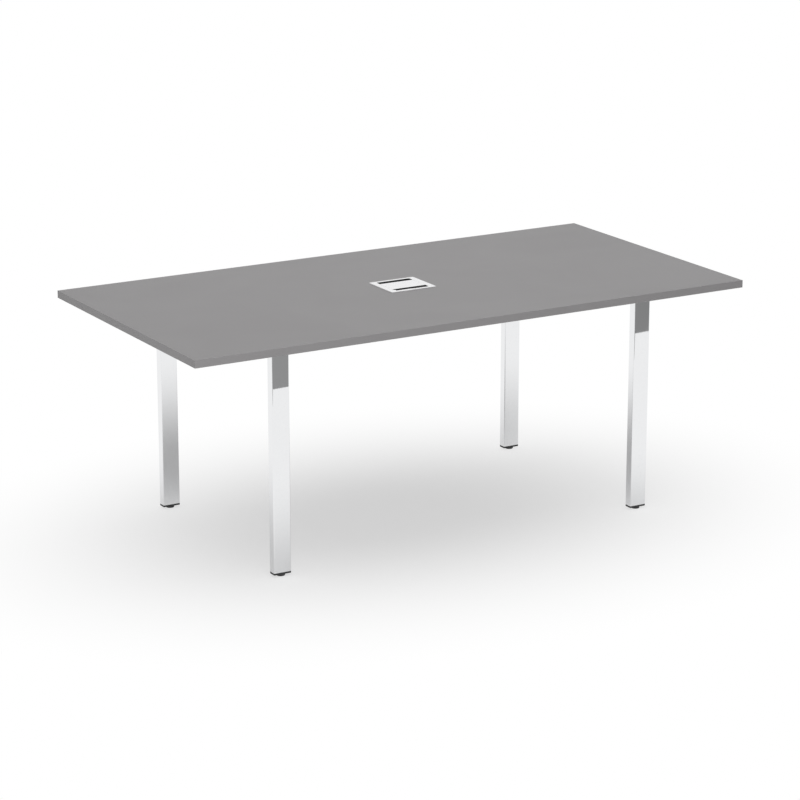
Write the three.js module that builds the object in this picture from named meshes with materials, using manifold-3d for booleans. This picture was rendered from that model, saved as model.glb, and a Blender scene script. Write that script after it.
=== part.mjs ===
// Conference table: a laminated board on two chromed leg frames, with a cable port in the middle.
// Millimetres, +Z up, +X along the table, -Y towards the front. The origin is on the floor under
// the middle of the board.

import * as THREE from "three";
import { mergeVertices } from "three/addons/utils/BufferGeometryUtils.js";
import Module from "manifold-3d";

// Board and its glued edge bands
const TOP_LENGTH = 2000;
const TOP_WIDTH = 1000;
const TABLE_HEIGHT = 760;
const BOARD_THICKNESS = 25;
const BAND_THICKNESS = 2;
const BAND_RADIUS = 1.5;

// Leg frames: one oblong tube makes the legs and the cross rails
const TUBE_WIDTH = 60;
const TUBE_DEPTH = 30;
const TUBE_WALL = 2;
const TUBE_RADIUS = 3;
const LEG_END_INSET = 303;
const LEG_SIDE_INSET = 92;
const WELD_GAP = 0.3;

// Beams between the leg frames, with a bolted flange on each end
const BEAM_WIDTH = 40;
const BEAM_HEIGHT = 30;
const BEAM_WALL = 2;
const BEAM_RADIUS = 2.5;
const BEAM_LEG_OFFSET = 163;
const FLANGE_THICKNESS = 4;
const FLANGE_MARGIN = 25;
const BOLT_DIAMETER = 8;
const BOLT_LENGTH = 18;
const BOLT_FLATS = 13;
const BOLT_HEAD = 5.3;
const COLLAR_DIAMETER = 14;
const COLLAR_DEPTH = 4;

// Lugs on the cross rails, and the screws that hold the board to them
const LUG_LENGTH = 36;
const LUG_WIDTH = 40;
const LUG_THICKNESS = 4;
const LUG_LEG_OFFSET = 73;
const SCREW_DIAMETER = 5;
const SCREW_LENGTH = 22;
const SCREW_HEAD_DIAMETER = 10;
const SCREW_HEAD = 3.2;
const SCREW_POINT = 4;

// Feet: a plastic cap in each leg with a nut in it, and a glide on a threaded stud
const CAP_FLANGE = 6;
const CAP_PLUG = 24;
const CAP_PLUG_RADIUS = 1.5;
const NUT_FLATS = 13;
const NUT_HEIGHT = 6.5;
const GLIDE_DIAMETER = 28;
const GLIDE_HEIGHT = 7;
const GLIDE_CHAMFER = 1.5;
const STUD_DIAMETER = 8;
const STUD_LENGTH = 48;
const STUD_SOCKET = 5;
const STUD_CHAMFER = 1;

// Cable port: a bezel on a housing let into the board, and a hinged lid between two cable slots
const PORT_LENGTH = 167;
const PORT_WIDTH = 152;
const PORT_RADIUS = 4;
const BEZEL_THICKNESS = 2.5;
const PORT_END_BORDER = 21.5;
const PORT_SIDE_BORDER = 12;
const PORT_MOUTH_RADIUS = 5;
const BEZEL_OVERHANG = 8.5;
const CUTOUT_CLEARANCE = 1;
const HOUSING_DEPTH = 22;
const SLOT_WIDTH = 23;
const LID_THICKNESS = 3;
const LID_RADIUS = 2;
const LID_RIB_LENGTH = 90;
const LID_RIB_SIZE = 4;
const LEDGE_LENGTH = 12;
const LEDGE_REACH = 2;
const LEDGE_THICKNESS = 4;
const KNUCKLE_DIAMETER = 8;
const KNUCKLE_LENGTH = 12;
const PIN_DIAMETER = 4;
const PIN_LENGTH = 21;
const CLAMP_WIDTH = 12;
const CLAMP_THICKNESS = 4;
const CLAMP_OVERLAP = 25;
const CLAMP_SCREW_DIAMETER = 5;
const CLAMP_SCREW_LENGTH = 26;
const CLAMP_SCREW_HEAD_DIAMETER = 9;
const CLAMP_SCREW_HEAD = 3.5;
const BOSS_DIAMETER = 9;
const BOSS_LENGTH = 15;

// Clearance left around every piece that is pushed or screwed into another
const FIT_CLEARANCE = 0.3;

// How far a cutting tool runs past the faces it cuts, and how round things are faceted
const CUT_MARGIN = 5;
const ROUND_SIDES = 16;
const CORNER_STEPS = 3;
const HEX_SIDES = 6;

// Places that follow from those sizes
const undersideZ = TABLE_HEIGHT - BOARD_THICKNESS;
const legX = TOP_LENGTH / 2 - LEG_END_INSET - TUBE_WIDTH / 2;
const legY = TOP_WIDTH / 2 - LEG_SIDE_INSET - TUBE_DEPTH / 2;
const legBottomZ = GLIDE_HEIGHT + CAP_FLANGE;
const railInnerX = legX - TUBE_WIDTH / 2;
const beamY = legY - BEAM_LEG_OFFSET;
const flangeWidth = BEAM_WIDTH + 2 * FLANGE_MARGIN;
const boltOffset = BEAM_WIDTH / 2 + FLANGE_MARGIN / 2;
const boltZ = undersideZ - BEAM_HEIGHT / 2;
const lugX = railInnerX - LUG_LENGTH / 2;
const lugY = legY - LUG_LEG_OFFSET;
const housingLength = PORT_LENGTH - 2 * BEZEL_OVERHANG;
const housingWidth = PORT_WIDTH - 2 * BEZEL_OVERHANG;
const mouthLength = PORT_LENGTH - 2 * PORT_END_BORDER;
const mouthWidth = PORT_WIDTH - 2 * PORT_SIDE_BORDER;
const cutoutLength = housingLength + 2 * CUTOUT_CLEARANCE;
const cutoutWidth = housingWidth + 2 * CUTOUT_CLEARANCE;
const lidLength = mouthLength - 2 * FIT_CLEARANCE;
const lidWidth = mouthWidth - 2 * SLOT_WIDTH;
const lidTopZ = TABLE_HEIGHT + BEZEL_THICKNESS;
const lidBottomZ = lidTopZ - LID_THICKNESS;
const pinY = lidWidth / 2 - KNUCKLE_DIAMETER / 2;
const pinZ = lidBottomZ - KNUCKLE_DIAMETER / 2;
const cheekX = (mouthLength + housingLength) / 4;

const SIDES = { left: -1, right: 1 };
const ENDS = { front: -1, rear: 1 };

const finish = (color, roughness, metalness) =>
  new THREE.MeshStandardMaterial({ color, roughness, metalness });
const laminate = finish(0x939191, 0.55, 0);
const bandPlastic = finish(0x8b8989, 0.5, 0);
const chrome = finish(0xd8dadc, 0.06, 1);
const paintedSteel = finish(0xa9abad, 0.5, 0.4);
const zincSteel = finish(0xb4b4b0, 0.35, 1);
const blackPlastic = finish(0x1c1c1d, 0.5, 0);
const aluminium = finish(0xdcdcdc, 0.25, 1);

const wasm = await Module();
wasm.setup();

// A three.js geometry as a solid that can be joined and cut
function solidOf(geometry) {
  const bare = geometry.clone();
  bare.deleteAttribute("normal");
  bare.deleteAttribute("uv");
  const merged = mergeVertices(bare);
  const corners = merged.index.array;
  const triangles = [];
  for (let i = 0; i < corners.length; i += 3) {
    const [a, b, c] = corners.slice(i, i + 3);
    if (a !== b && b !== c && c !== a) triangles.push(a, b, c);
  }
  const mesh = new wasm.Mesh({
    numProp: 3,
    vertProperties: new Float32Array(merged.attributes.position.array),
    triVerts: new Uint32Array(triangles),
  });
  return new wasm.Manifold(mesh);
}

// The geometry of a solid that has been joined or cut
function geometryOf(solid) {
  const { vertProperties, triVerts } = solid.getMesh();
  const geometry = new THREE.BufferGeometry();
  geometry.setAttribute("position", new THREE.BufferAttribute(vertProperties, 3));
  geometry.setIndex(new THREE.BufferAttribute(triVerts, 1));
  geometry.computeVertexNormals();
  return geometry;
}

function cut(base, ...tools) {
  return geometryOf(tools.reduce((solid, tool) => solid.subtract(solidOf(tool)), solidOf(base)));
}

function join(base, ...more) {
  return geometryOf(more.reduce((solid, piece) => solid.add(solidOf(piece)), solidOf(base)));
}

// A box between two heights, centred on x and y
function block(length, width, bottom, top, x = 0, y = 0) {
  const geometry = new THREE.BoxGeometry(length, width, top - bottom);
  return geometry.translate(x, y, (bottom + top) / 2);
}

// A rectangle with round corners, in the XY plane
function roundedRectangle(length, width, radius) {
  const x = length / 2 - radius;
  const y = width / 2 - radius;
  const shape = new THREE.Shape();
  shape.absarc(x, y, radius, 0, Math.PI / 2);
  shape.absarc(-x, y, radius, Math.PI / 2, Math.PI);
  shape.absarc(-x, -y, radius, Math.PI, 1.5 * Math.PI);
  shape.absarc(x, -y, radius, 1.5 * Math.PI, 2 * Math.PI);
  shape.closePath();
  return shape;
}

// A shape of the XY plane pulled up between two heights
function prism(shape, bottom, top) {
  const geometry = new THREE.ExtrudeGeometry(shape, {
    depth: top - bottom,
    bevelEnabled: false,
    curveSegments: CORNER_STEPS,
  });
  return geometry.translate(0, 0, bottom);
}

// The section of a steel tube with round corners
function tubeSection(width, depth, wall, radius) {
  const section = roundedRectangle(width, depth, radius);
  const bore = roundedRectangle(width - 2 * wall, depth - 2 * wall, Math.max(radius - wall, wall / 4));
  section.holes.push(bore);
  return section;
}

// A round bar standing between two heights
function roundBar(diameter, bottom, top, sides = ROUND_SIDES) {
  const geometry = new THREE.CylinderGeometry(diameter / 2, diameter / 2, top - bottom, sides);
  return geometry.rotateX(Math.PI / 2).translate(0, 0, (bottom + top) / 2);
}

// A hexagon bar of a given size across its flats
function hexBar(flats, bottom, top) {
  return roundBar(flats / Math.cos(Math.PI / HEX_SIDES), bottom, top, HEX_SIDES);
}

// A turned piece: the profile runs from the axis at the bottom to the axis at the top
function turned(profile) {
  const points = profile.map(([radius, height]) => new THREE.Vector2(radius, height));
  return new THREE.LatheGeometry(points, ROUND_SIDES).rotateX(Math.PI / 2);
}

// Lays a piece that stands along Z down along X, with its top towards the given side
function alongX(geometry, side) {
  return geometry.rotateY((side * Math.PI) / 2);
}

const table = new THREE.Group();

function place(parent, name, geometry, material, x = 0, y = 0, z = 0) {
  const mesh = new THREE.Mesh(geometry, material);
  mesh.name = name;
  mesh.position.set(x, y, z);
  parent.add(mesh);
  return mesh;
}

// Board: a laminated core with the port's cut-out and a pilot hole over each lug
const coreLength = TOP_LENGTH - 2 * BAND_THICKNESS;
const coreWidth = TOP_WIDTH - 2 * BAND_THICKNESS;
const cutout = block(
  cutoutLength, cutoutWidth, undersideZ - CUT_MARGIN, TABLE_HEIGHT + CUT_MARGIN,
);
const screwReach = SCREW_LENGTH - LUG_THICKNESS;
const pilotHole = (x, y) =>
  roundBar(
    SCREW_DIAMETER + 2 * FIT_CLEARANCE, undersideZ - CUT_MARGIN, undersideZ + screwReach + FIT_CLEARANCE,
  ).translate(x, y, 0);
const pilotHoles = [];
for (const side of Object.values(SIDES)) {
  for (const end of Object.values(ENDS)) pilotHoles.push(pilotHole(side * lugX, end * lugY));
}
const core = cut(block(coreLength, coreWidth, undersideZ, TABLE_HEIGHT), cutout, ...pilotHoles);
place(table, "table_top", core, laminate);

// Edge bands: plastic strips with their two outer edges rounded, drawn along X and turned for the ends
function edgeBand(length) {
  const section = new THREE.Shape();
  const half = BOARD_THICKNESS / 2 - BAND_RADIUS;
  section.moveTo(0, -BOARD_THICKNESS / 2);
  section.absarc(BAND_THICKNESS - BAND_RADIUS, -half, BAND_RADIUS, -Math.PI / 2, 0);
  section.absarc(BAND_THICKNESS - BAND_RADIUS, half, BAND_RADIUS, 0, Math.PI / 2);
  section.lineTo(0, BOARD_THICKNESS / 2);
  section.closePath();
  const strip = prism(section, -length / 2, length / 2);
  return strip.rotateX(Math.PI / 2);
}
const bandZ = (undersideZ + TABLE_HEIGHT) / 2;
for (const [name, end] of Object.entries(ENDS)) {
  const strip = edgeBand(TOP_LENGTH).rotateZ((end * Math.PI) / 2);
  place(table, `edge_band_${name}`, strip, bandPlastic, 0, (end * coreWidth) / 2, bandZ);
}
for (const [name, side] of Object.entries(SIDES)) {
  const strip = side > 0 ? edgeBand(coreWidth) : edgeBand(coreWidth).rotateZ(Math.PI);
  place(table, `edge_band_${name}`, strip, bandPlastic, (side * coreLength) / 2, 0, bandZ);
}

// A prism across the tube whose slope is the mitre between a leg and its cross rail: it fills the
// corner above the slope, or below it. It is placed on the corner's outer top edge, and the rail
// leaves it along +Y.
function mitreTool(above) {
  const half = (WELD_GAP / 2) * Math.SQRT2;
  const far = TUBE_DEPTH + CUT_MARGIN;
  const outline = new THREE.Shape();
  if (above) {
    outline.moveTo(-CUT_MARGIN, CUT_MARGIN - half);
    outline.lineTo(far, -far - half);
    outline.lineTo(far, CUT_MARGIN);
  } else {
    outline.moveTo(-CUT_MARGIN, CUT_MARGIN + half);
    outline.lineTo(-CUT_MARGIN, -far);
    outline.lineTo(far + half, -far);
  }
  outline.closePath();
  const width = TUBE_WIDTH + 2 * CUT_MARGIN;
  const tool = prism(outline, -width / 2, width / 2);
  return tool.rotateX(Math.PI / 2).rotateZ(Math.PI / 2);
}

const tube = () => tubeSection(TUBE_WIDTH, TUBE_DEPTH, TUBE_WALL, TUBE_RADIUS);

// A front leg, standing on the axis of its tube; a rear leg is the same piece turned half round
function leg() {
  const whole = prism(tube(), legBottomZ, undersideZ);
  return cut(whole, mitreTool(true).translate(0, -TUBE_DEPTH / 2, undersideZ));
}

// A cross rail, lying along Y under the board, with threaded collars for the beams on its +X wall
function crossRail() {
  const outerY = legY + TUBE_DEPTH / 2;
  const railZ = undersideZ - TUBE_DEPTH / 2;
  const bar = prism(tube(), -outerY, outerY).rotateX(Math.PI / 2).translate(0, 0, railZ);
  const wallX = TUBE_WIDTH / 2;
  const collars = [];
  const threads = [];
  for (const end of Object.values(ENDS)) {
    for (const offset of [-boltOffset, boltOffset]) {
      const y = end * beamY + offset;
      const bottom = wallX - TUBE_WALL - COLLAR_DEPTH;
      const collar = roundBar(COLLAR_DIAMETER, bottom, wallX - TUBE_WALL / 2);
      const thread = roundBar(BOLT_DIAMETER + 2 * FIT_CLEARANCE, bottom - CUT_MARGIN, wallX + CUT_MARGIN);
      collars.push(alongX(collar, 1).translate(0, y, boltZ));
      threads.push(alongX(thread, 1).translate(0, y, boltZ));
    }
  }
  const frontMitre = mitreTool(false).translate(0, -outerY, undersideZ);
  const rearMitre = mitreTool(false).rotateZ(Math.PI).translate(0, outerY, undersideZ);
  return cut(join(bar, ...collars), frontMitre, rearMitre, ...threads);
}

// The plastic cap in the foot of a leg: a flange under the tube, and a plug with a nut pocket
function footCap() {
  const plugLength = TUBE_WIDTH - 2 * TUBE_WALL - 2 * FIT_CLEARANCE;
  const plugWidth = TUBE_DEPTH - 2 * TUBE_WALL - 2 * FIT_CLEARANCE;
  const flange = prism(roundedRectangle(TUBE_WIDTH, TUBE_DEPTH, TUBE_RADIUS), GLIDE_HEIGHT, legBottomZ);
  const plug = prism(
    roundedRectangle(plugLength, plugWidth, CAP_PLUG_RADIUS), legBottomZ, legBottomZ + CAP_PLUG,
  );
  const bore = roundBar(
    STUD_DIAMETER + 2 * FIT_CLEARANCE, GLIDE_HEIGHT - CUT_MARGIN, legBottomZ + CAP_PLUG + CUT_MARGIN,
  );
  const pocket = hexBar(
    NUT_FLATS + 2 * FIT_CLEARANCE,
    legBottomZ + CAP_PLUG - NUT_HEIGHT - FIT_CLEARANCE,
    legBottomZ + CAP_PLUG + CUT_MARGIN,
  );
  return cut(join(flange, plug), bore, pocket);
}

function glideNut() {
  const top = legBottomZ + CAP_PLUG;
  const thread = roundBar(
    STUD_DIAMETER + 2 * FIT_CLEARANCE, top - NUT_HEIGHT - CUT_MARGIN, top + CUT_MARGIN,
  );
  return cut(hexBar(NUT_FLATS, top - NUT_HEIGHT, top), thread);
}

// The glide's disc stands on the floor and rests against the cap when it is screwed right in
const stepZ = GLIDE_HEIGHT - STUD_SOCKET;
const socketRadius = STUD_DIAMETER / 2 + FIT_CLEARANCE;
const glideProfile = [
  [0, 0],
  [GLIDE_DIAMETER / 2 - GLIDE_CHAMFER, 0],
  [GLIDE_DIAMETER / 2, GLIDE_CHAMFER],
  [GLIDE_DIAMETER / 2, GLIDE_HEIGHT - GLIDE_CHAMFER],
  [GLIDE_DIAMETER / 2 - GLIDE_CHAMFER, GLIDE_HEIGHT],
  [socketRadius, GLIDE_HEIGHT],
  [socketRadius, stepZ],
  [0, stepZ],
];
const studBottom = stepZ + FIT_CLEARANCE;
const studProfile = [
  [0, studBottom],
  [STUD_DIAMETER / 2, studBottom],
  [STUD_DIAMETER / 2, studBottom + STUD_LENGTH - STUD_CHAMFER],
  [STUD_DIAMETER / 2 - STUD_CHAMFER, studBottom + STUD_LENGTH],
  [0, studBottom + STUD_LENGTH],
];

// A wood screw driven up into the board: its head bears on the underside of a lug
const lugBottomZ = undersideZ - LUG_THICKNESS;
const screwTopZ = lugBottomZ + SCREW_LENGTH;
const screwProfile = [
  [0, lugBottomZ - SCREW_HEAD],
  [SCREW_HEAD_DIAMETER / 4, lugBottomZ - SCREW_HEAD],
  [SCREW_HEAD_DIAMETER / 2, lugBottomZ - SCREW_HEAD / 3],
  [SCREW_HEAD_DIAMETER / 2, lugBottomZ],
  [SCREW_DIAMETER / 2, lugBottomZ],
  [SCREW_DIAMETER / 2, screwTopZ - SCREW_POINT],
  [0, screwTopZ],
];

function lug() {
  const plate = block(LUG_LENGTH, LUG_WIDTH, lugBottomZ, undersideZ);
  const hole = roundBar(
    SCREW_DIAMETER + 2 * FIT_CLEARANCE, lugBottomZ - CUT_MARGIN, undersideZ + CUT_MARGIN,
  );
  return cut(plate, hole);
}

// Two leg frames, left and right, each with its legs, rail, lugs and feet
for (const [sideName, side] of Object.entries(SIDES)) {
  const frame = new THREE.Group();
  frame.position.x = side * legX;
  table.add(frame);
  const rail = place(frame, `cross_rail_${sideName}`, crossRail(), chrome);
  if (side > 0) rail.rotation.z = Math.PI;
  for (const [endName, end] of Object.entries(ENDS)) {
    const where = `${endName}_${sideName}`;
    const post = place(frame, `leg_${where}`, leg(), chrome, 0, end * legY);
    if (end > 0) post.rotation.z = Math.PI;
    place(frame, `foot_cap_${where}`, footCap(), blackPlastic, 0, end * legY);
    place(frame, `glide_nut_${where}`, glideNut(), zincSteel, 0, end * legY);
    place(frame, `glide_disc_${where}`, turned(glideProfile), blackPlastic, 0, end * legY);
    place(frame, `glide_stud_${where}`, turned(studProfile), zincSteel, 0, end * legY);
    const lugOffset = side * (lugX - legX);
    place(frame, `fixing_lug_${where}`, lug(), paintedSteel, lugOffset, end * lugY);
    place(frame, `lug_screw_${where}`, turned(screwProfile), zincSteel, lugOffset, end * lugY);
  }
}

// Beams: tubes along X between flanges that lie against the cross rails, each held by two bolts
const beamLength = 2 * (railInnerX - FLANGE_THICKNESS);
function beam() {
  const section = tubeSection(BEAM_HEIGHT, BEAM_WIDTH, BEAM_WALL, BEAM_RADIUS);
  const bar = prism(section, -beamLength / 2, beamLength / 2);
  return alongX(bar, 1).translate(0, 0, boltZ);
}

function beamFlange() {
  const plate = block(FLANGE_THICKNESS, flangeWidth, undersideZ - BEAM_HEIGHT, undersideZ);
  const reach = FLANGE_THICKNESS + CUT_MARGIN;
  const holes = [-boltOffset, boltOffset].map((y) => {
    const hole = roundBar(BOLT_DIAMETER + 2 * FIT_CLEARANCE, -reach, reach);
    return alongX(hole, 1).translate(0, y, boltZ);
  });
  return cut(plate, ...holes);
}

// A bolt standing head down at the origin, laid along X with its shank towards the cross rail
function beamBolt(side) {
  const head = hexBar(BOLT_FLATS, -BOLT_HEAD, 0);
  const shank = roundBar(BOLT_DIAMETER, -BOLT_HEAD / 2, BOLT_LENGTH);
  return alongX(join(head, shank), side);
}

for (const [endName, end] of Object.entries(ENDS)) {
  place(table, `beam_${endName}`, beam(), paintedSteel, 0, end * beamY);
  for (const [sideName, side] of Object.entries(SIDES)) {
    const where = `${endName}_${sideName}`;
    const flangeX = side * (railInnerX - FLANGE_THICKNESS / 2);
    place(table, `beam_flange_${where}`, beamFlange(), paintedSteel, flangeX, end * beamY);
    const headX = side * (railInnerX - FLANGE_THICKNESS);
    const bolts = { outer: end * boltOffset, inner: -end * boltOffset };
    for (const [boltName, offset] of Object.entries(bolts)) {
      const name = `beam_bolt_${where}_${boltName}`;
      place(table, name, beamBolt(side), zincSteel, headX, end * beamY + offset, boltZ);
    }
  }
}

// Port mouth: what is cut out of the bezel and the housing for the lid and its two slots
function portMouth() {
  return prism(
    roundedRectangle(mouthLength, mouthWidth, PORT_MOUTH_RADIUS),
    TABLE_HEIGHT - HOUSING_DEPTH - CUT_MARGIN,
    lidTopZ + CUT_MARGIN,
  );
}

// A hole for a clamp screw, from under the board to a clearance past the screw's tip
function clampScrewHole(side) {
  const depth = CLAMP_SCREW_LENGTH - CLAMP_THICKNESS + FIT_CLEARANCE;
  const diameter = CLAMP_SCREW_DIAMETER + 2 * FIT_CLEARANCE;
  return roundBar(diameter, undersideZ - CUT_MARGIN, undersideZ + depth).translate(side * cheekX, 0, 0);
}

// Port bezel: the plate that lies on the board, with a boss under each end for a clamp screw
function portBezel() {
  const plate = prism(roundedRectangle(PORT_LENGTH, PORT_WIDTH, PORT_RADIUS), TABLE_HEIGHT, lidTopZ);
  const bosses = [];
  const holes = [];
  for (const side of Object.values(SIDES)) {
    const top = TABLE_HEIGHT + BEZEL_THICKNESS / 2;
    const boss = roundBar(BOSS_DIAMETER, TABLE_HEIGHT - BOSS_LENGTH, top);
    bosses.push(boss.translate(side * cheekX, 0, 0));
    holes.push(clampScrewHole(side));
  }
  return cut(join(plate, ...bosses), portMouth(), ...holes);
}

// Port housing: a ring in the cut-out, whose thick cheeks left and right take the bezel's bosses
// and the lid's pins, with a ledge under each front corner of the lid
function portHousing() {
  const bottom = TABLE_HEIGHT - HOUSING_DEPTH;
  const ring = cut(block(housingLength, housingWidth, bottom, TABLE_HEIGHT), portMouth());
  const ledges = [];
  const holes = [];
  for (const side of Object.values(SIDES)) {
    const ledgeTop = lidBottomZ - FIT_CLEARANCE;
    const ledge = block(
      2 * LEDGE_REACH, LEDGE_LENGTH, ledgeTop - LEDGE_THICKNESS, ledgeTop,
      (side * mouthLength) / 2, -lidWidth / 2 + LEDGE_LENGTH / 2,
    );
    const pinReach = PIN_LENGTH - KNUCKLE_LENGTH + FIT_CLEARANCE;
    const pinHole = roundBar(PIN_DIAMETER + 2 * FIT_CLEARANCE, -CUT_MARGIN, pinReach);
    const bossHole = roundBar(
      BOSS_DIAMETER + 2 * FIT_CLEARANCE,
      TABLE_HEIGHT - BOSS_LENGTH - FIT_CLEARANCE,
      TABLE_HEIGHT + CUT_MARGIN,
    );
    ledges.push(ledge);
    holes.push(alongX(pinHole, side).translate((side * mouthLength) / 2, pinY, pinZ));
    holes.push(bossHole.translate(side * cheekX, 0, 0), clampScrewHole(side));
  }
  return cut(join(ring, ...ledges), ...holes);
}

// Port lid: a plate with a finger rib under its front edge and a knuckle under each rear corner
function portLid() {
  const plate = prism(roundedRectangle(lidLength, lidWidth, LID_RADIUS), lidBottomZ, lidTopZ);
  const ribY = -lidWidth / 2 + 1.5 * LID_RIB_SIZE;
  const rib = block(
    LID_RIB_LENGTH, LID_RIB_SIZE, lidBottomZ - LID_RIB_SIZE, lidBottomZ + LID_THICKNESS / 2, 0, ribY,
  );
  const knuckles = [];
  const bores = [];
  for (const side of Object.values(SIDES)) {
    const x = side * (lidLength / 2 - KNUCKLE_LENGTH / 2);
    const barrel = roundBar(KNUCKLE_DIAMETER, -KNUCKLE_LENGTH / 2, KNUCKLE_LENGTH / 2);
    const web = block(KNUCKLE_LENGTH, KNUCKLE_DIAMETER, pinZ, lidBottomZ + LID_THICKNESS / 2, x, pinY);
    const bore = roundBar(PIN_DIAMETER + 2 * FIT_CLEARANCE, -KNUCKLE_LENGTH, KNUCKLE_LENGTH);
    knuckles.push(alongX(barrel, 1).translate(x, pinY, pinZ), web);
    bores.push(alongX(bore, 1).translate(x, pinY, pinZ));
  }
  return cut(join(plate, rib, ...knuckles), ...bores);
}

place(table, "port_bezel", portBezel(), aluminium);
place(table, "port_housing", portHousing(), blackPlastic);
place(table, "port_lid", portLid(), aluminium);

// Each lid pin reaches from its knuckle into the cheek; each clamp bar is drawn up against the
// underside of the board by one screw into the bezel's boss above it
function clampBar() {
  const length = cutoutWidth + 2 * CLAMP_OVERLAP;
  const bar = block(CLAMP_WIDTH, length, undersideZ - CLAMP_THICKNESS, undersideZ);
  const hole = roundBar(
    CLAMP_SCREW_DIAMETER + 2 * FIT_CLEARANCE,
    undersideZ - CLAMP_THICKNESS - CUT_MARGIN,
    undersideZ + CUT_MARGIN,
  );
  return cut(bar, hole);
}
const clampBottomZ = undersideZ - CLAMP_THICKNESS;
const clampScrewProfile = [
  [0, clampBottomZ - CLAMP_SCREW_HEAD],
  [CLAMP_SCREW_HEAD_DIAMETER / 3, clampBottomZ - CLAMP_SCREW_HEAD],
  [CLAMP_SCREW_HEAD_DIAMETER / 2, clampBottomZ - CLAMP_SCREW_HEAD / 2],
  [CLAMP_SCREW_HEAD_DIAMETER / 2, clampBottomZ],
  [CLAMP_SCREW_DIAMETER / 2, clampBottomZ],
  [CLAMP_SCREW_DIAMETER / 2, clampBottomZ + CLAMP_SCREW_LENGTH],
  [0, clampBottomZ + CLAMP_SCREW_LENGTH],
];
for (const [name, side] of Object.entries(SIDES)) {
  const pin = alongX(roundBar(PIN_DIAMETER, -KNUCKLE_LENGTH, PIN_LENGTH - KNUCKLE_LENGTH), side);
  place(table, `lid_pin_${name}`, pin, zincSteel, (side * mouthLength) / 2, pinY, pinZ);
  place(table, `clamp_bar_${name}`, clampBar(), zincSteel, side * cheekX);
  place(table, `clamp_screw_${name}`, turned(clampScrewProfile), zincSteel, side * cheekX);
}

export default table;
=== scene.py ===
import bpy
import math
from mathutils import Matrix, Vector


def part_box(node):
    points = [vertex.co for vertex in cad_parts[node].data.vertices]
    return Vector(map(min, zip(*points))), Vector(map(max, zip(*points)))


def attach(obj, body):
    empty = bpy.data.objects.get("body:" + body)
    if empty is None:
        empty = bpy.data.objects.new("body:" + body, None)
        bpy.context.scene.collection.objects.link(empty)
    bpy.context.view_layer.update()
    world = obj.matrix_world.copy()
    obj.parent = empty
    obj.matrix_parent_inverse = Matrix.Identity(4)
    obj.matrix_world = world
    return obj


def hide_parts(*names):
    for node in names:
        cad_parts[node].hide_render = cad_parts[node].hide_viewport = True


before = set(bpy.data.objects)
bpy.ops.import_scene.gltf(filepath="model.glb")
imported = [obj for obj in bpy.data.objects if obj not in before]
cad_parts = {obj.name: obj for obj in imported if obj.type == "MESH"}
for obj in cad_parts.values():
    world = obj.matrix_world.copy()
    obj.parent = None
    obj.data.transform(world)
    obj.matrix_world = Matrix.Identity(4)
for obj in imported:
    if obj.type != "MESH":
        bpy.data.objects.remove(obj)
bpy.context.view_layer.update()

# Camera: a long lens well back from the front left corner of the table, looking down at it.
# The focal length and the stand point were fitted to the table's corners in the photograph.
IMAGE_PIXELS = 800
SENSOR_WIDTH = 36.0
FOCAL_PIXELS = 2887.0
CAMERA_PLACE = (-4.604, -7.897, 2.994)
CAMERA_HEADING = math.radians(30.19)
CAMERA_DIP = math.radians(16.01)

camera_data = bpy.data.cameras.new("camera")
camera_data.sensor_width = SENSOR_WIDTH
camera_data.lens = SENSOR_WIDTH * FOCAL_PIXELS / IMAGE_PIXELS
camera = bpy.data.objects.new("camera", camera_data)
camera.location = CAMERA_PLACE
camera.rotation_euler = (math.pi / 2 - CAMERA_DIP, 0, -CAMERA_HEADING)
bpy.context.collection.objects.link(camera)
bpy.context.scene.camera = camera
bpy.context.scene.view_settings.view_transform = "Standard"

# Table top: a chipboard core under a plain grey melamine film, pressed with a fine pearl texture.
# The film shows faint speckle in its colour and softer and glossier patches where hands have been.
LAMINATE_COLOUR = (0.280, 0.271, 0.275, 1)
LAMINATE_DARK = (0.262, 0.254, 0.258, 1)
LAMINATE_ROUGHNESS = (0.50, 0.54)
LAMINATE_SPECKLE = 260
LAMINATE_MARKS = 3.0
LAMINATE_RELIEF = 0.12
GRIT_FINENESS = 3.5
MARKS_SPREAD = (0.35, 0.7)
RELIEF_DEPTH = 0.0002
COLOUR_A = 6
COLOUR_B = 7
MIXED_COLOUR = 2


def group_of(name, inputs, outputs):
    """An empty shader node group with float inputs and outputs, and its two end nodes."""
    tree = bpy.data.node_groups.new(name, "ShaderNodeTree")
    for label, value in inputs.items():
        socket = tree.interface.new_socket(label, in_out="INPUT", socket_type="NodeSocketFloat")
        socket.default_value = value
    for label in outputs:
        tree.interface.new_socket(label, in_out="OUTPUT", socket_type="NodeSocketFloat")
    return tree, tree.nodes.new("NodeGroupInput"), tree.nodes.new("NodeGroupOutput")


def add_node(tree, kind, settings=None, sockets=None):
    """A node with some of its properties and socket values set."""
    node = tree.nodes.new(kind)
    for label, value in (settings or {}).items():
        setattr(node, label, value)
    for label, value in (sockets or {}).items():
        node.inputs[label].default_value = value
    return node


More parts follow.
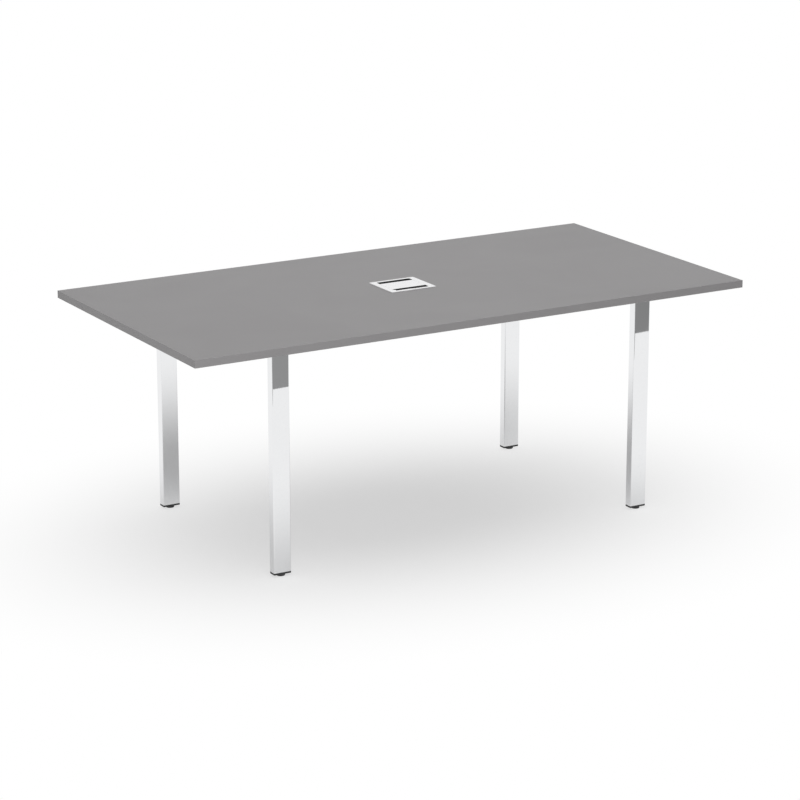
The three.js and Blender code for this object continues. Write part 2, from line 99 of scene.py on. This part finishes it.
# Fine speckle: even noise at two scales, as in a printed film or a powder coat.
speckle, speckle_in, speckle_out = group_of("fine_speckle", {"Scale": 200.0}, ["Speckle", "Grit"])
place = add_node(speckle, "ShaderNodeTexCoord")
coarse = add_node(speckle, "ShaderNodeTexNoise", sockets={"Detail": 3.0, "Roughness": 0.6})
grit = add_node(speckle, "ShaderNodeTexNoise", sockets={"Detail": 1.0})
finer = add_node(speckle, "ShaderNodeMath", {"operation": "MULTIPLY"}, {1: GRIT_FINENESS})
speckle.links.new(place.outputs["Object"], coarse.inputs["Vector"])
speckle.links.new(place.outputs["Object"], grit.inputs["Vector"])
speckle.links.new(speckle_in.outputs["Scale"], coarse.inputs["Scale"])
speckle.links.new(speckle_in.outputs["Scale"], finer.inputs[0])
speckle.links.new(finer.outputs[0], grit.inputs["Scale"])
speckle.links.new(coarse.outputs["Fac"], speckle_out.inputs["Speckle"])
speckle.links.new(grit.outputs["Fac"], speckle_out.inputs["Grit"])

# Handling marks: broad soft patches where a surface has been wiped and touched.
marks, marks_in, marks_out = group_of("handling_marks", {"Scale": 4.0}, ["Marks"])
place = add_node(marks, "ShaderNodeTexCoord")
smears = add_node(marks, "ShaderNodeTexNoise", sockets={"Detail": 4.0, "Distortion": 0.8})
spread = add_node(marks, "ShaderNodeMapRange")
spread.inputs["From Min"].default_value, spread.inputs["From Max"].default_value = MARKS_SPREAD
marks.links.new(place.outputs["Object"], smears.inputs["Vector"])
marks.links.new(marks_in.outputs["Scale"], smears.inputs["Scale"])
marks.links.new(smears.outputs["Fac"], spread.inputs["Value"])
marks.links.new(spread.outputs["Result"], marks_out.inputs["Marks"])


def finish_of(name, light, dark, roughness, speckle_scale, marks_scale, bump, metallic=0.0):
    """A material whose colour, gloss and fine relief follow the speckle and the handling marks."""
    material = bpy.data.materials.new(name)
    material.use_nodes = True
    tree = material.node_tree
    shader = tree.nodes["Principled BSDF"]
    shader.inputs["Metallic"].default_value = metallic
    grain = add_node(tree, "ShaderNodeGroup", {"node_tree": speckle}, {"Scale": speckle_scale})
    wiped = add_node(tree, "ShaderNodeGroup", {"node_tree": marks}, {"Scale": marks_scale})
    tint = add_node(tree, "ShaderNodeMix", {"data_type": "RGBA"})
    tint.inputs[COLOUR_A].default_value = light
    tint.inputs[COLOUR_B].default_value = dark
    gloss = add_node(tree, "ShaderNodeMapRange")
    gloss.inputs["To Min"].default_value, gloss.inputs["To Max"].default_value = roughness
    relief = add_node(tree, "ShaderNodeBump", sockets={"Strength": bump, "Distance": RELIEF_DEPTH})
    tree.links.new(grain.outputs["Speckle"], tint.inputs["Factor"])
    tree.links.new(tint.outputs[MIXED_COLOUR], shader.inputs["Base Color"])
    tree.links.new(wiped.outputs["Marks"], gloss.inputs["Value"])
    tree.links.new(gloss.outputs["Result"], shader.inputs["Roughness"])
    tree.links.new(grain.outputs["Grit"], relief.inputs["Height"])
    tree.links.new(relief.outputs["Normal"], shader.inputs["Normal"])
    return material


def paint(node, material):
    """Gives a CAD node its finish."""
    mesh = bpy.data.objects[node].data
    mesh.materials.clear()
    mesh.materials.append(material)


laminate = finish_of(
    "grey_laminate", LAMINATE_COLOUR, LAMINATE_DARK, LAMINATE_ROUGHNESS,
    LAMINATE_SPECKLE, LAMINATE_MARKS, LAMINATE_RELIEF,
)
paint("table_top", laminate)

# Edge bands: 2 mm plastic strips glued round the board, in the film's own grey and rounded over.
# They are a little smoother than the film, so their arrises catch a thin line of light.
BAND_COLOUR = (0.278, 0.270, 0.274, 1)
BAND_DARK = (0.266, 0.258, 0.262, 1)
BAND_ROUGHNESS = (0.36, 0.46)
BAND_SPECKLE = 420
BAND_MARKS = 6.0
BAND_RELIEF = 0.06

band_plastic = finish_of(
    "edge_band_plastic", BAND_COLOUR, BAND_DARK, BAND_ROUGHNESS, BAND_SPECKLE, BAND_MARKS, BAND_RELIEF,
)
for side in ("front", "rear", "left", "right"):
    paint(f"edge_band_{side}", band_plastic)

# Leg frames: oblong steel tube, mitred and welded into two frames, ground and bright chromed.
# Each leg is a tube with a slanted top, and each rail a tube with two slanted ends.
TUBE_WALL = 0.002
TUBE_CORNER = 0.003
CORNER_STEPS = 8
CHROME_COLOUR = (0.85, 0.855, 0.862, 1)
CHROME_DARK = (0.82, 0.825, 0.835, 1)
CHROME_ROUGHNESS = (0.012, 0.03)
CHROME_SPECKLE = 90
CHROME_MARKS = 9.0
CHROME_RELIEF = 0.004
BARE_METAL = 1.0
SHARP_ANGLE = math.radians(32)
WELD_RADIUS = 0.0007
WELD_SIDES = 8

chrome = finish_of(
    "bright_chrome", CHROME_COLOUR, CHROME_DARK, CHROME_ROUGHNESS,
    CHROME_SPECKLE, CHROME_MARKS, CHROME_RELIEF, BARE_METAL,
)


def rounded_outline(width, depth, corner):
    """Points round a rectangle with round corners, centred on the origin."""
    points = []
    for turn, (sx, sy) in enumerate(((1, 1), (-1, 1), (-1, -1), (1, -1))):
        middle = Vector((sx * (width / 2 - corner), sy * (depth / 2 - corner)))
        for step in range(CORNER_STEPS + 1):
            angle = (turn + step / CORNER_STEPS) * math.pi / 2
            points.append(middle + corner * Vector((math.cos(angle), math.sin(angle))))
    return points


def piece(name, vertices, faces, material, body="table"):
    """A mesh object that rides on a body, smooth except across its sharp edges."""
    mesh = bpy.data.meshes.new(name)
    mesh.from_pydata([tuple(v) for v in vertices], [], faces)
    mesh.validate()
    mesh.update()
    mesh.shade_smooth()
    mesh.set_sharp_from_angle(angle=SHARP_ANGLE)
    mesh.materials.append(material)
    made = bpy.data.objects.new(name, mesh)
    bpy.context.collection.objects.link(made)
    made.modifiers.new("flat_faces", "WEIGHTED_NORMAL").keep_sharp = True
    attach(made, body)
    return made


def ring_faces(first, second, count):
    """Quads between two closed rings of vertices that start at the given numbers."""
    return [
        (first + i, first + (i + 1) % count, second + (i + 1) % count, second + i)
        for i in range(count)
    ]


def tube_piece(name, width, depth, wall, corner, start, end, to_world, material):
    """A hollow tube: start and end give where each point of the section begins and stops."""
    outer = rounded_outline(width, depth, corner)
    inner = rounded_outline(width - 2 * wall, depth - 2 * wall, max(corner - wall, wall / 4))
    count = len(outer)
    vertices = [to_world(p, start(p)) for p in outer]
    vertices += [to_world(p, end(p)) for p in outer]
    vertices += [to_world(p, start(p)) for p in inner]
    vertices += [to_world(p, end(p)) for p in inner]
    faces = ring_faces(0, count, count)
    faces += ring_faces(3 * count, 2 * count, count)
    faces += ring_faces(2 * count, 0, count)
    faces += ring_faces(count, 3 * count, count)
    return piece(name, vertices, faces, material)


def weld_bead(name, path, material):
    """A thin ground bead along a closed path."""
    vertices = []
    faces = []
    count = len(path)
    for i, point in enumerate(path):
        along = (path[(i + 1) % count] - path[i - 1]).normalized()
        across = along.orthogonal().normalized()
        other = along.cross(across)
        for k in range(WELD_SIDES):
            angle = 2 * math.pi * k / WELD_SIDES
            offset = math.cos(angle) * across + math.sin(angle) * other
            vertices.append(point + WELD_RADIUS * offset)
    for i in range(count):
        first = i * WELD_SIDES
        second = ((i + 1) % count) * WELD_SIDES
        faces += ring_faces(first, second, WELD_SIDES)
    return piece(name, vertices, faces, material)


for side in ("left", "right"):
    rail_low, rail_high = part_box(f"cross_rail_{side}")
    rail_middle = (rail_low + rail_high) / 2
    rail_width = rail_high.x - rail_low.x
    rail_depth = rail_high.z - rail_low.z
    rail_half = (rail_high.y - rail_low.y) / 2

    def mitre_end(section_point, half=rail_half, depth=rail_depth):
        return half - (depth / 2 - section_point.y)

    rail = tube_piece(
        f"cross_rail_tube_{side}", rail_width, rail_depth, TUBE_WALL, TUBE_CORNER,
        lambda p: -mitre_end(p),
        mitre_end,
        lambda p, along: rail_middle + Vector((-p.x, along, p.y)),
        chrome,
    )
    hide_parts(f"cross_rail_{side}")
    for end, outward in (("front", -1), ("rear", 1)):
        leg_low, leg_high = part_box(f"leg_{end}_{side}")
        leg_middle = (leg_low + leg_high) / 2
        leg_depth = leg_high.y - leg_low.y

        def mitre_top(section_point):
            return leg_high.z - (leg_depth / 2 - outward * section_point.y)

        leg = tube_piece(
            f"leg_tube_{end}_{side}", leg_high.x - leg_low.x, leg_depth, TUBE_WALL, TUBE_CORNER,
            lambda p: leg_low.z,
            mitre_top,
            lambda p, height: Vector((leg_middle.x + p.x, leg_middle.y + p.y, height)),
            chrome,
        )
        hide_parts(f"leg_{end}_{side}")
        inset = rounded_outline(
            leg_high.x - leg_low.x - WELD_RADIUS, leg_depth - WELD_RADIUS, TUBE_CORNER,
        )
        seam = [
            Vector((leg_middle.x + p.x, leg_middle.y + p.y, min(mitre_top(p), leg_high.z - WELD_RADIUS)))
            for p in inset
        ]
        weld_bead(f"mitre_weld_{end}_{side}", seam, chrome)

# Beams and lugs: welded steel under the board, powder coated silver grey, with the coat's fine grit.
# The flanges on the beams' ends are bolted to the rails, and the lugs are screwed to the board.
BEAM_WALL = 0.002
BEAM_CORNER = 0.0025
POWDER_COLOUR = (0.42, 0.43, 0.44, 1)
POWDER_DARK = (0.36, 0.37, 0.38, 1)
POWDER_ROUGHNESS = (0.38, 0.5)
POWDER_SPECKLE = 700
POWDER_MARKS = 12.0
POWDER_RELIEF = 0.25
POWDER_METAL = 0.35
EDGE_BREAK = 0.0004
EDGE_BREAK_STEPS = 2
EDGE_BREAK_ANGLE = math.radians(40)

powder_coat = finish_of(
    "silver_powder_coat", POWDER_COLOUR, POWDER_DARK, POWDER_ROUGHNESS,
    POWDER_SPECKLE, POWDER_MARKS, POWDER_RELIEF, POWDER_METAL,
)


def break_edges(node, width=EDGE_BREAK):
    """Rounds the sharp edges of a CAD node by a hair, so that they catch the light."""
    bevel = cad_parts[node].modifiers.new("edge_break", "BEVEL")
    bevel.width = width
    bevel.segments = EDGE_BREAK_STEPS
    bevel.limit_method = "ANGLE"
    bevel.angle_limit = EDGE_BREAK_ANGLE


for end in ("front", "rear"):
    beam_low, beam_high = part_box(f"beam_{end}")
    beam_middle = (beam_low + beam_high) / 2
    beam_half = (beam_high.x - beam_low.x) / 2
    beam = tube_piece(
        f"beam_tube_{end}", beam_high.y - beam_low.y, beam_high.z - beam_low.z, BEAM_WALL, BEAM_CORNER,
        lambda p: -beam_half,
        lambda p: beam_half,
        lambda p, along: beam_middle + Vector((along, p.x, p.y)),
        powder_coat,
    )
    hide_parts(f"beam_{end}")
    for side in ("left", "right"):
        for name in (f"beam_flange_{end}_{side}", f"fixing_lug_{end}_{side}"):
            paint(name, powder_coat)
            break_edges(name)

# Fasteners: bolts, screws, nuts, pins and clamp bars of zinc plated steel, slightly dull and mottled.
# The bolts hold the beams, the screws the board, and the bars clamp the cable port from below.
ZINC_COLOUR = (0.66, 0.66, 0.64, 1)
ZINC_DARK = (0.52, 0.52, 0.50, 1)
ZINC_ROUGHNESS = (0.25, 0.42)
ZINC_SPECKLE = 300
ZINC_MARKS = 60.0
ZINC_RELIEF = 0.08
FASTENER_EDGE_BREAK = EDGE_BREAK / 2

zinc_plate = finish_of(
    "zinc_plate", ZINC_COLOUR, ZINC_DARK, ZINC_ROUGHNESS, ZINC_SPECKLE, ZINC_MARKS, ZINC_RELIEF, BARE_METAL,
)
for end in ("front", "rear"):
    for side in ("left", "right"):
        corner = f"{end}_{side}"
        hardware = [f"beam_bolt_{corner}_outer", f"beam_bolt_{corner}_inner", f"glide_nut_{corner}"]
        for name in hardware + [f"lug_screw_{corner}"]:
            paint(name, zinc_plate)
            break_edges(name, FASTENER_EDGE_BREAK)
for side in ("left", "right"):
    for name in (f"lid_pin_{side}", f"clamp_bar_{side}", f"clamp_screw_{side}"):
        paint(name, zinc_plate)
        break_edges(name, FASTENER_EDGE_BREAK)

# Feet: a black plastic cap pressed into each leg, and a round black glide on a threaded stud.
# The glide's rim is fluted so that fingers can turn it to level the table.
CAP_ARRIS = 0.0006
GLIDE_SEGMENTS = 96
GLIDE_FLUTES = 24
FLUTE_DEPTH = 0.0005
GLIDE_ROUND = 0.0015
ROUND_STEPS = 5
STUD_PITCH = 0.00125
STUD_THREAD_DEPTH = 0.0007
STUD_SEGMENTS = 24
STUD_STEPS_PER_PITCH = 4
BLACK_COLOUR = (0.012, 0.012, 0.013, 1)
BLACK_LIGHT = (0.020, 0.020, 0.021, 1)
BLACK_ROUGHNESS = (0.38, 0.52)
BLACK_SPECKLE = 500
BLACK_MARKS = 40.0
BLACK_RELIEF = 0.2

black_plastic = finish_of(
    "black_moulded_plastic", BLACK_COLOUR, BLACK_LIGHT, BLACK_ROUGHNESS,
    BLACK_SPECKLE, BLACK_MARKS, BLACK_RELIEF,
)


def stacked_rings(name, rings, material, body):
    """A closed piece from rings of points, bottom to top, with a flat face on each end."""
    count = len(rings[0])
    vertices = [point for ring in rings for point in ring]
    faces = []
    for level in range(len(rings) - 1):
        faces += ring_faces(level * count, (level + 1) * count, count)
    faces.append(tuple(reversed(range(count))))
    faces.append(tuple(range((len(rings) - 1) * count, len(rings) * count)))
    return piece(name, vertices, faces, material, body)


def glide_disc(corner):
    """The round glide: a flat base, a rounded and fluted rim and a flat top."""
    low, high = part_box(f"glide_disc_{corner}")
    middle = (low + high) / 2
    radius = (high.x - low.x) / 2
    profile = []
    for step in range(ROUND_STEPS + 1):
        angle = math.pi / 2 * step / ROUND_STEPS
        profile.append((
            radius - GLIDE_ROUND * (1 - math.sin(angle)), low.z + GLIDE_ROUND * (1 - math.cos(angle)),
        ))
    profile += [(r, low.z + high.z - z) for r, z in reversed(profile)]
    rings = []
    for r, z in profile:
        rim = max(0.0, 1 - (radius - r) / GLIDE_ROUND)
        ring = []
        for k in range(GLIDE_SEGMENTS):
            angle = 2 * math.pi * k / GLIDE_SEGMENTS
            flute = FLUTE_DEPTH * rim * (0.5 - 0.5 * math.cos(GLIDE_FLUTES * angle))
            ring.append(Vector((
                middle.x + (r - flute) * math.cos(angle), middle.y + (r - flute) * math.sin(angle), z,
            )))
        rings.append(ring)
    made = stacked_rings(
        f"glide_base_{corner}", rings, black_plastic, f"glide_{corner}",
    )
    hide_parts(f"glide_disc_{corner}")


def glide_stud(corner):
    """The threaded stud that the glide turns on."""
    low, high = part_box(f"glide_stud_{corner}")
    middle = (low + high) / 2
    radius = (high.x - low.x) / 2
    steps = int((high.z - low.z) / STUD_PITCH) * STUD_STEPS_PER_PITCH
    rings = []
    for step in range(steps + 1):
        z = low.z + (high.z - low.z) * step / steps
        ring = []
        for k in range(STUD_SEGMENTS):
            turn = k / STUD_SEGMENTS
            wave = abs(((z - low.z) / STUD_PITCH - turn) % 1.0 - 0.5) * 2
            r = radius - STUD_THREAD_DEPTH * wave
            angle = 2 * math.pi * turn
            ring.append(Vector((middle.x + r * math.cos(angle), middle.y + r * math.sin(angle), z)))
        rings.append(ring)
    made = stacked_rings(f"glide_thread_{corner}", rings, zinc_plate, f"glide_{corner}")
    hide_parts(f"glide_stud_{corner}")


for end in ("front", "rear"):
    for side in ("left", "right"):
        paint(f"foot_cap_{end}_{side}", black_plastic)
        break_edges(f"foot_cap_{end}_{side}", CAP_ARRIS)
        glide_disc(f"{end}_{side}")
        glide_stud(f"{end}_{side}")

# Cable port: a bright aluminium bezel and lid, ground along the table and lacquered, over a black
# plastic housing in the board. The lid turns on two pins and leaves a cable slot on either side.
ALUMINIUM_COLOUR = (0.86, 0.86, 0.865, 1)
ALUMINIUM_DARK = (0.76, 0.76, 0.77, 1)
GRIND_STRETCH = (8.0, 2600.0, 300.0)
GRIND_ROUGHNESS = (0.22, 0.36)
GRIND_SPREAD = (0.3, 0.7)
GRIND_RELIEF = 0.05
ALUMINIUM_SPECKLE = 150
ALUMINIUM_MARKS = 25.0
ALUMINIUM_RELIEF = 0.02
PORT_ARRIS = 0.00025
UPRIGHT_FACE = 0.5
BEZEL_RIM = 0.005

aluminium = finish_of(
    "ground_aluminium", ALUMINIUM_COLOUR, ALUMINIUM_DARK, GRIND_ROUGHNESS,
    ALUMINIUM_SPECKLE, ALUMINIUM_MARKS, ALUMINIUM_RELIEF, BARE_METAL,
)


def grind_lines(material):
    """Draws the colour, gloss and relief of a finish out into fine lines along the table."""
    tree = material.node_tree
    shader = tree.nodes["Principled BSDF"]
    place = add_node(tree, "ShaderNodeTexCoord")
    drawn = add_node(tree, "ShaderNodeVectorMath", {"operation": "MULTIPLY"}, {1: GRIND_STRETCH})
    lines = add_node(tree, "ShaderNodeTexNoise", sockets={"Scale": 1.0, "Detail": 3.0})
    gloss = add_node(tree, "ShaderNodeMapRange")
    gloss.inputs["From Min"].default_value, gloss.inputs["From Max"].default_value = GRIND_SPREAD
    gloss.inputs["To Min"].default_value, gloss.inputs["To Max"].default_value = GRIND_ROUGHNESS
    relief = add_node(tree, "ShaderNodeBump", sockets={"Strength": GRIND_RELIEF, "Distance": RELIEF_DEPTH})
    tree.links.new(place.outputs["Object"], drawn.inputs[0])
    tree.links.new(drawn.outputs[0], lines.inputs["Vector"])
    tree.links.new(lines.outputs["Fac"], gloss.inputs["Value"])
    tint = shader.inputs["Base Color"].links[0].from_node
    tree.links.new(lines.outputs["Fac"], tint.inputs["Factor"])
    tree.links.new(gloss.outputs["Result"], shader.inputs["Roughness"])
    tree.links.new(lines.outputs["Fac"], relief.inputs["Height"])
    tree.links.new(relief.outputs["Normal"], shader.inputs["Normal"])


def paint_slot_shade(node, inside):
    """Paints shade on a plate's upright faces by giving them the black plastic finish, where the test of
    their place holds.
    """
    plate = bpy.data.objects[node]
    plate.data.materials.append(black_plastic)
    for face in plate.data.polygons:
        middle = plate.matrix_world @ face.center
        if abs(face.normal.z) < UPRIGHT_FACE and inside(middle):
            face.material_index = 1


grind_lines(aluminium)
for name in ("port_bezel", "port_lid"):
    paint(name, aluminium)
    break_edges(name, PORT_ARRIS)
bezel_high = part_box("port_bezel")[1]
board_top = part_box("table_top")[1].z
mouth_limit = bezel_high - Vector((BEZEL_RIM, BEZEL_RIM, 0))


def in_the_mouth(p):
    """Whether a place is on the mouth's own edge, above the board and within the bezel's rim."""
    return p.z > board_top and abs(p.x) < mouth_limit.x and abs(p.y) < mouth_limit.y


def on_the_plate(p):
    """Whether a place is on the lid's plate, and not low on its knuckles."""
    return p.z > bezel_high.z - 2 * (bezel_high.z - board_top)


# Painted shade: the upright aluminium edges in the port's mouth and round the lid get black plastic, so the
# cable slots read dark.
paint_slot_shade("port_bezel", in_the_mouth)
paint_slot_shade("port_lid", on_the_plate)
paint("port_housing", black_plastic)
break_edges("port_housing", EDGE_BREAK)

# Studio: a pale floor that ends a little way in front of the table, where a grey sheet goes on that metal
# sees but the camera sees as white, a painted reflection, under an even white sky, one broad soft lamp
# above and one in front. The floor turns to plain white away from the table, and metal sees that white too;
# nearer, it glows only in part, which lightens its real shadow.
FLOOR_FRONT = -2.31
FLOOR_REACH = 30.0
FLOOR_COLOUR = (0.93, 0.93, 0.93, 1)
REFLECTED_SHEET_GREY = (0.44, 0.44, 0.44, 1)
WHITE = (1, 1, 1, 1)
FADE_FROM = 0.15
FADE_TO = 1.3
NEAR_GLOW = 0.455
MIRROR_GLOW = 0.16
SHADE_STRETCH = (0.75, 1.0, 0.0)
SHADE_SHIFT = (0.06, 0.07, 0.0)
SKY_LIGHT = 0.46
LAMP_SIZE = (4.0, 3.0)
LAMP_HEIGHT = 3.4
LAMP_WATTS = 31.5
FILL_PLACE = (-1.75, -4.6, 0.75)
FILL_SIZE = (3.6, 0.8)
FILL_WATTS = 75.0


def seen_directly(tree):
    """A value that is 1 for what the camera sees, also in metal and through glass, and 0 for light."""
    path = add_node(tree, "ShaderNodeLightPath")
    either = add_node(tree, "ShaderNodeMath", {"operation": "MAXIMUM"})
    any_of = add_node(tree, "ShaderNodeMath", {"operation": "MAXIMUM"})
    tree.links.new(path.outputs["Is Camera Ray"], either.inputs[0])
    tree.links.new(path.outputs["Is Glossy Ray"], either.inputs[1])
    tree.links.new(either.outputs[0], any_of.inputs[0])
    tree.links.new(path.outputs["Is Transmission Ray"], any_of.inputs[1])
    return any_of.outputs[0]


def floor_sheet(name, low_y, high_y, material):
    """A level sheet of the studio floor between two lines across it."""
    mesh = bpy.data.meshes.new(name)
    across = [(-FLOOR_REACH, low_y, 0), (FLOOR_REACH, low_y, 0)]
    back = [(FLOOR_REACH, high_y, 0), (-FLOOR_REACH, high_y, 0)]
    mesh.from_pydata(across + back, [], [(0, 1, 2, 3)])
    mesh.materials.append(material)
    sheet = bpy.data.objects.new(name, mesh)
    bpy.context.collection.objects.link(sheet)


def matt_paint(name, colour):
    """A matt paint that can turn to plain white light, and that is clear from below."""
    material = bpy.data.materials.new(name)
    material.use_nodes = True
    tree = material.node_tree
    tree.nodes.clear()
    matt = add_node(tree, "ShaderNodeBsdfDiffuse", sockets={"Color": colour})
    glow = add_node(tree, "ShaderNodeEmission", sockets={"Color": WHITE, "Strength": 1.0})
    clear = add_node(tree, "ShaderNodeBsdfTransparent")
    whiten = add_node(tree, "ShaderNodeMixShader")
    side = add_node(tree, "ShaderNodeMixShader")
    where = add_node(tree, "ShaderNodeNewGeometry")
    output = add_node(tree, "ShaderNodeOutputMaterial")
    tree.links.new(matt.outputs[0], whiten.inputs[1])
    tree.links.new(glow.outputs[0], whiten.inputs[2])
    tree.links.new(where.outputs["Backfacing"], side.inputs["Fac"])
    tree.links.new(whiten.outputs[0], side.inputs[1])
    tree.links.new(clear.outputs[0], side.inputs[2])
    tree.links.new(side.outputs[0], output.inputs["Surface"])
    return material, whiten.inputs["Fac"]


floor_paint, floor_white = matt_paint("floor_paint", FLOOR_COLOUR)
tree = floor_paint.node_tree
where = add_node(tree, "ShaderNodeNewGeometry")
# Painted light: near the table the floor glows in part, in an oval set by SHADE_STRETCH and SHADE_SHIFT,
# which lightens and shapes its real shadow; metal sees a weaker glow there (MIRROR_GLOW) than the camera
# (NEAR_GLOW), a painted reflection.
oval = add_node(
    tree, "ShaderNodeVectorMath", {"operation": "MULTIPLY_ADD"}, {1: SHADE_STRETCH, 2: SHADE_SHIFT},
)
reach = add_node(tree, "ShaderNodeVectorMath", {"operation": "LENGTH"})
fade = add_node(
    tree, "ShaderNodeMapRange", {"interpolation_type": "SMOOTHSTEP"},
    {"From Min": FADE_FROM, "From Max": FADE_TO, "To Max": 1.0},
)
path = add_node(tree, "ShaderNodeLightPath")
near = add_node(tree, "ShaderNodeMapRange", sockets={"To Min": MIRROR_GLOW, "To Max": NEAR_GLOW})
amount = add_node(tree, "ShaderNodeMath", {"operation": "MULTIPLY"})
tree.links.new(path.outputs["Is Camera Ray"], near.inputs["Value"])
tree.links.new(near.outputs["Result"], fade.inputs["To Min"])
tree.links.new(where.outputs["Position"], oval.inputs[0])
tree.links.new(oval.outputs[0], reach.inputs[0])
tree.links.new(reach.outputs["Value"], fade.inputs["Value"])
tree.links.new(fade.outputs["Result"], amount.inputs[0])
tree.links.new(seen_directly(tree), amount.inputs[1])
tree.links.new(amount.outputs[0], floor_white)
floor_sheet("studio_floor", FLOOR_FRONT, FLOOR_REACH, floor_paint)

# Painted reflection: a grey sheet in front of the table, white to the camera and grey in the chrome, for
# the grey band on the legs' fronts.
reflection_sheet_paint, reflection_sheet_white = matt_paint("reflection_sheet_paint", REFLECTED_SHEET_GREY)
tree = reflection_sheet_paint.node_tree
path = add_node(tree, "ShaderNodeLightPath")
tree.links.new(path.outputs["Is Camera Ray"], reflection_sheet_white)
floor_sheet("studio_apron", -FLOOR_REACH, FLOOR_FRONT, reflection_sheet_paint)

world = bpy.data.worlds.new("studio_sky")
world.use_nodes = True
bpy.context.scene.world = world
tree = world.node_tree
sky = tree.nodes["Background"]
sky.inputs["Color"].default_value = WHITE
level = add_node(tree, "ShaderNodeMapRange", sockets={"To Min": SKY_LIGHT, "To Max": 1.0})
tree.links.new(seen_directly(tree), level.inputs["Value"])
tree.links.new(level.outputs["Result"], sky.inputs["Strength"])



def soft_lamp(name, place, turn, size, watts):
    """A broad lamp with a white cloth front, which the camera itself doesn't see."""
    lamp_data = bpy.data.lights.new(name, "AREA")
    lamp_data.shape = "RECTANGLE"
    lamp_data.size, lamp_data.size_y = size
    lamp_data.energy = watts
    lamp = bpy.data.objects.new(name, lamp_data)
    lamp.location = place
    lamp.rotation_euler = turn
    lamp.visible_camera = False
    bpy.context.collection.objects.link(lamp)


fill_heading = math.atan2(FILL_PLACE[0], FILL_PLACE[1]) + math.pi
soft_lamp("ceiling_lamp", (0, 0, LAMP_HEIGHT), (0, 0, 0), LAMP_SIZE, LAMP_WATTS)
soft_lamp("front_fill_lamp", FILL_PLACE, (math.pi / 2, 0, -fill_heading), FILL_SIZE, FILL_WATTS)
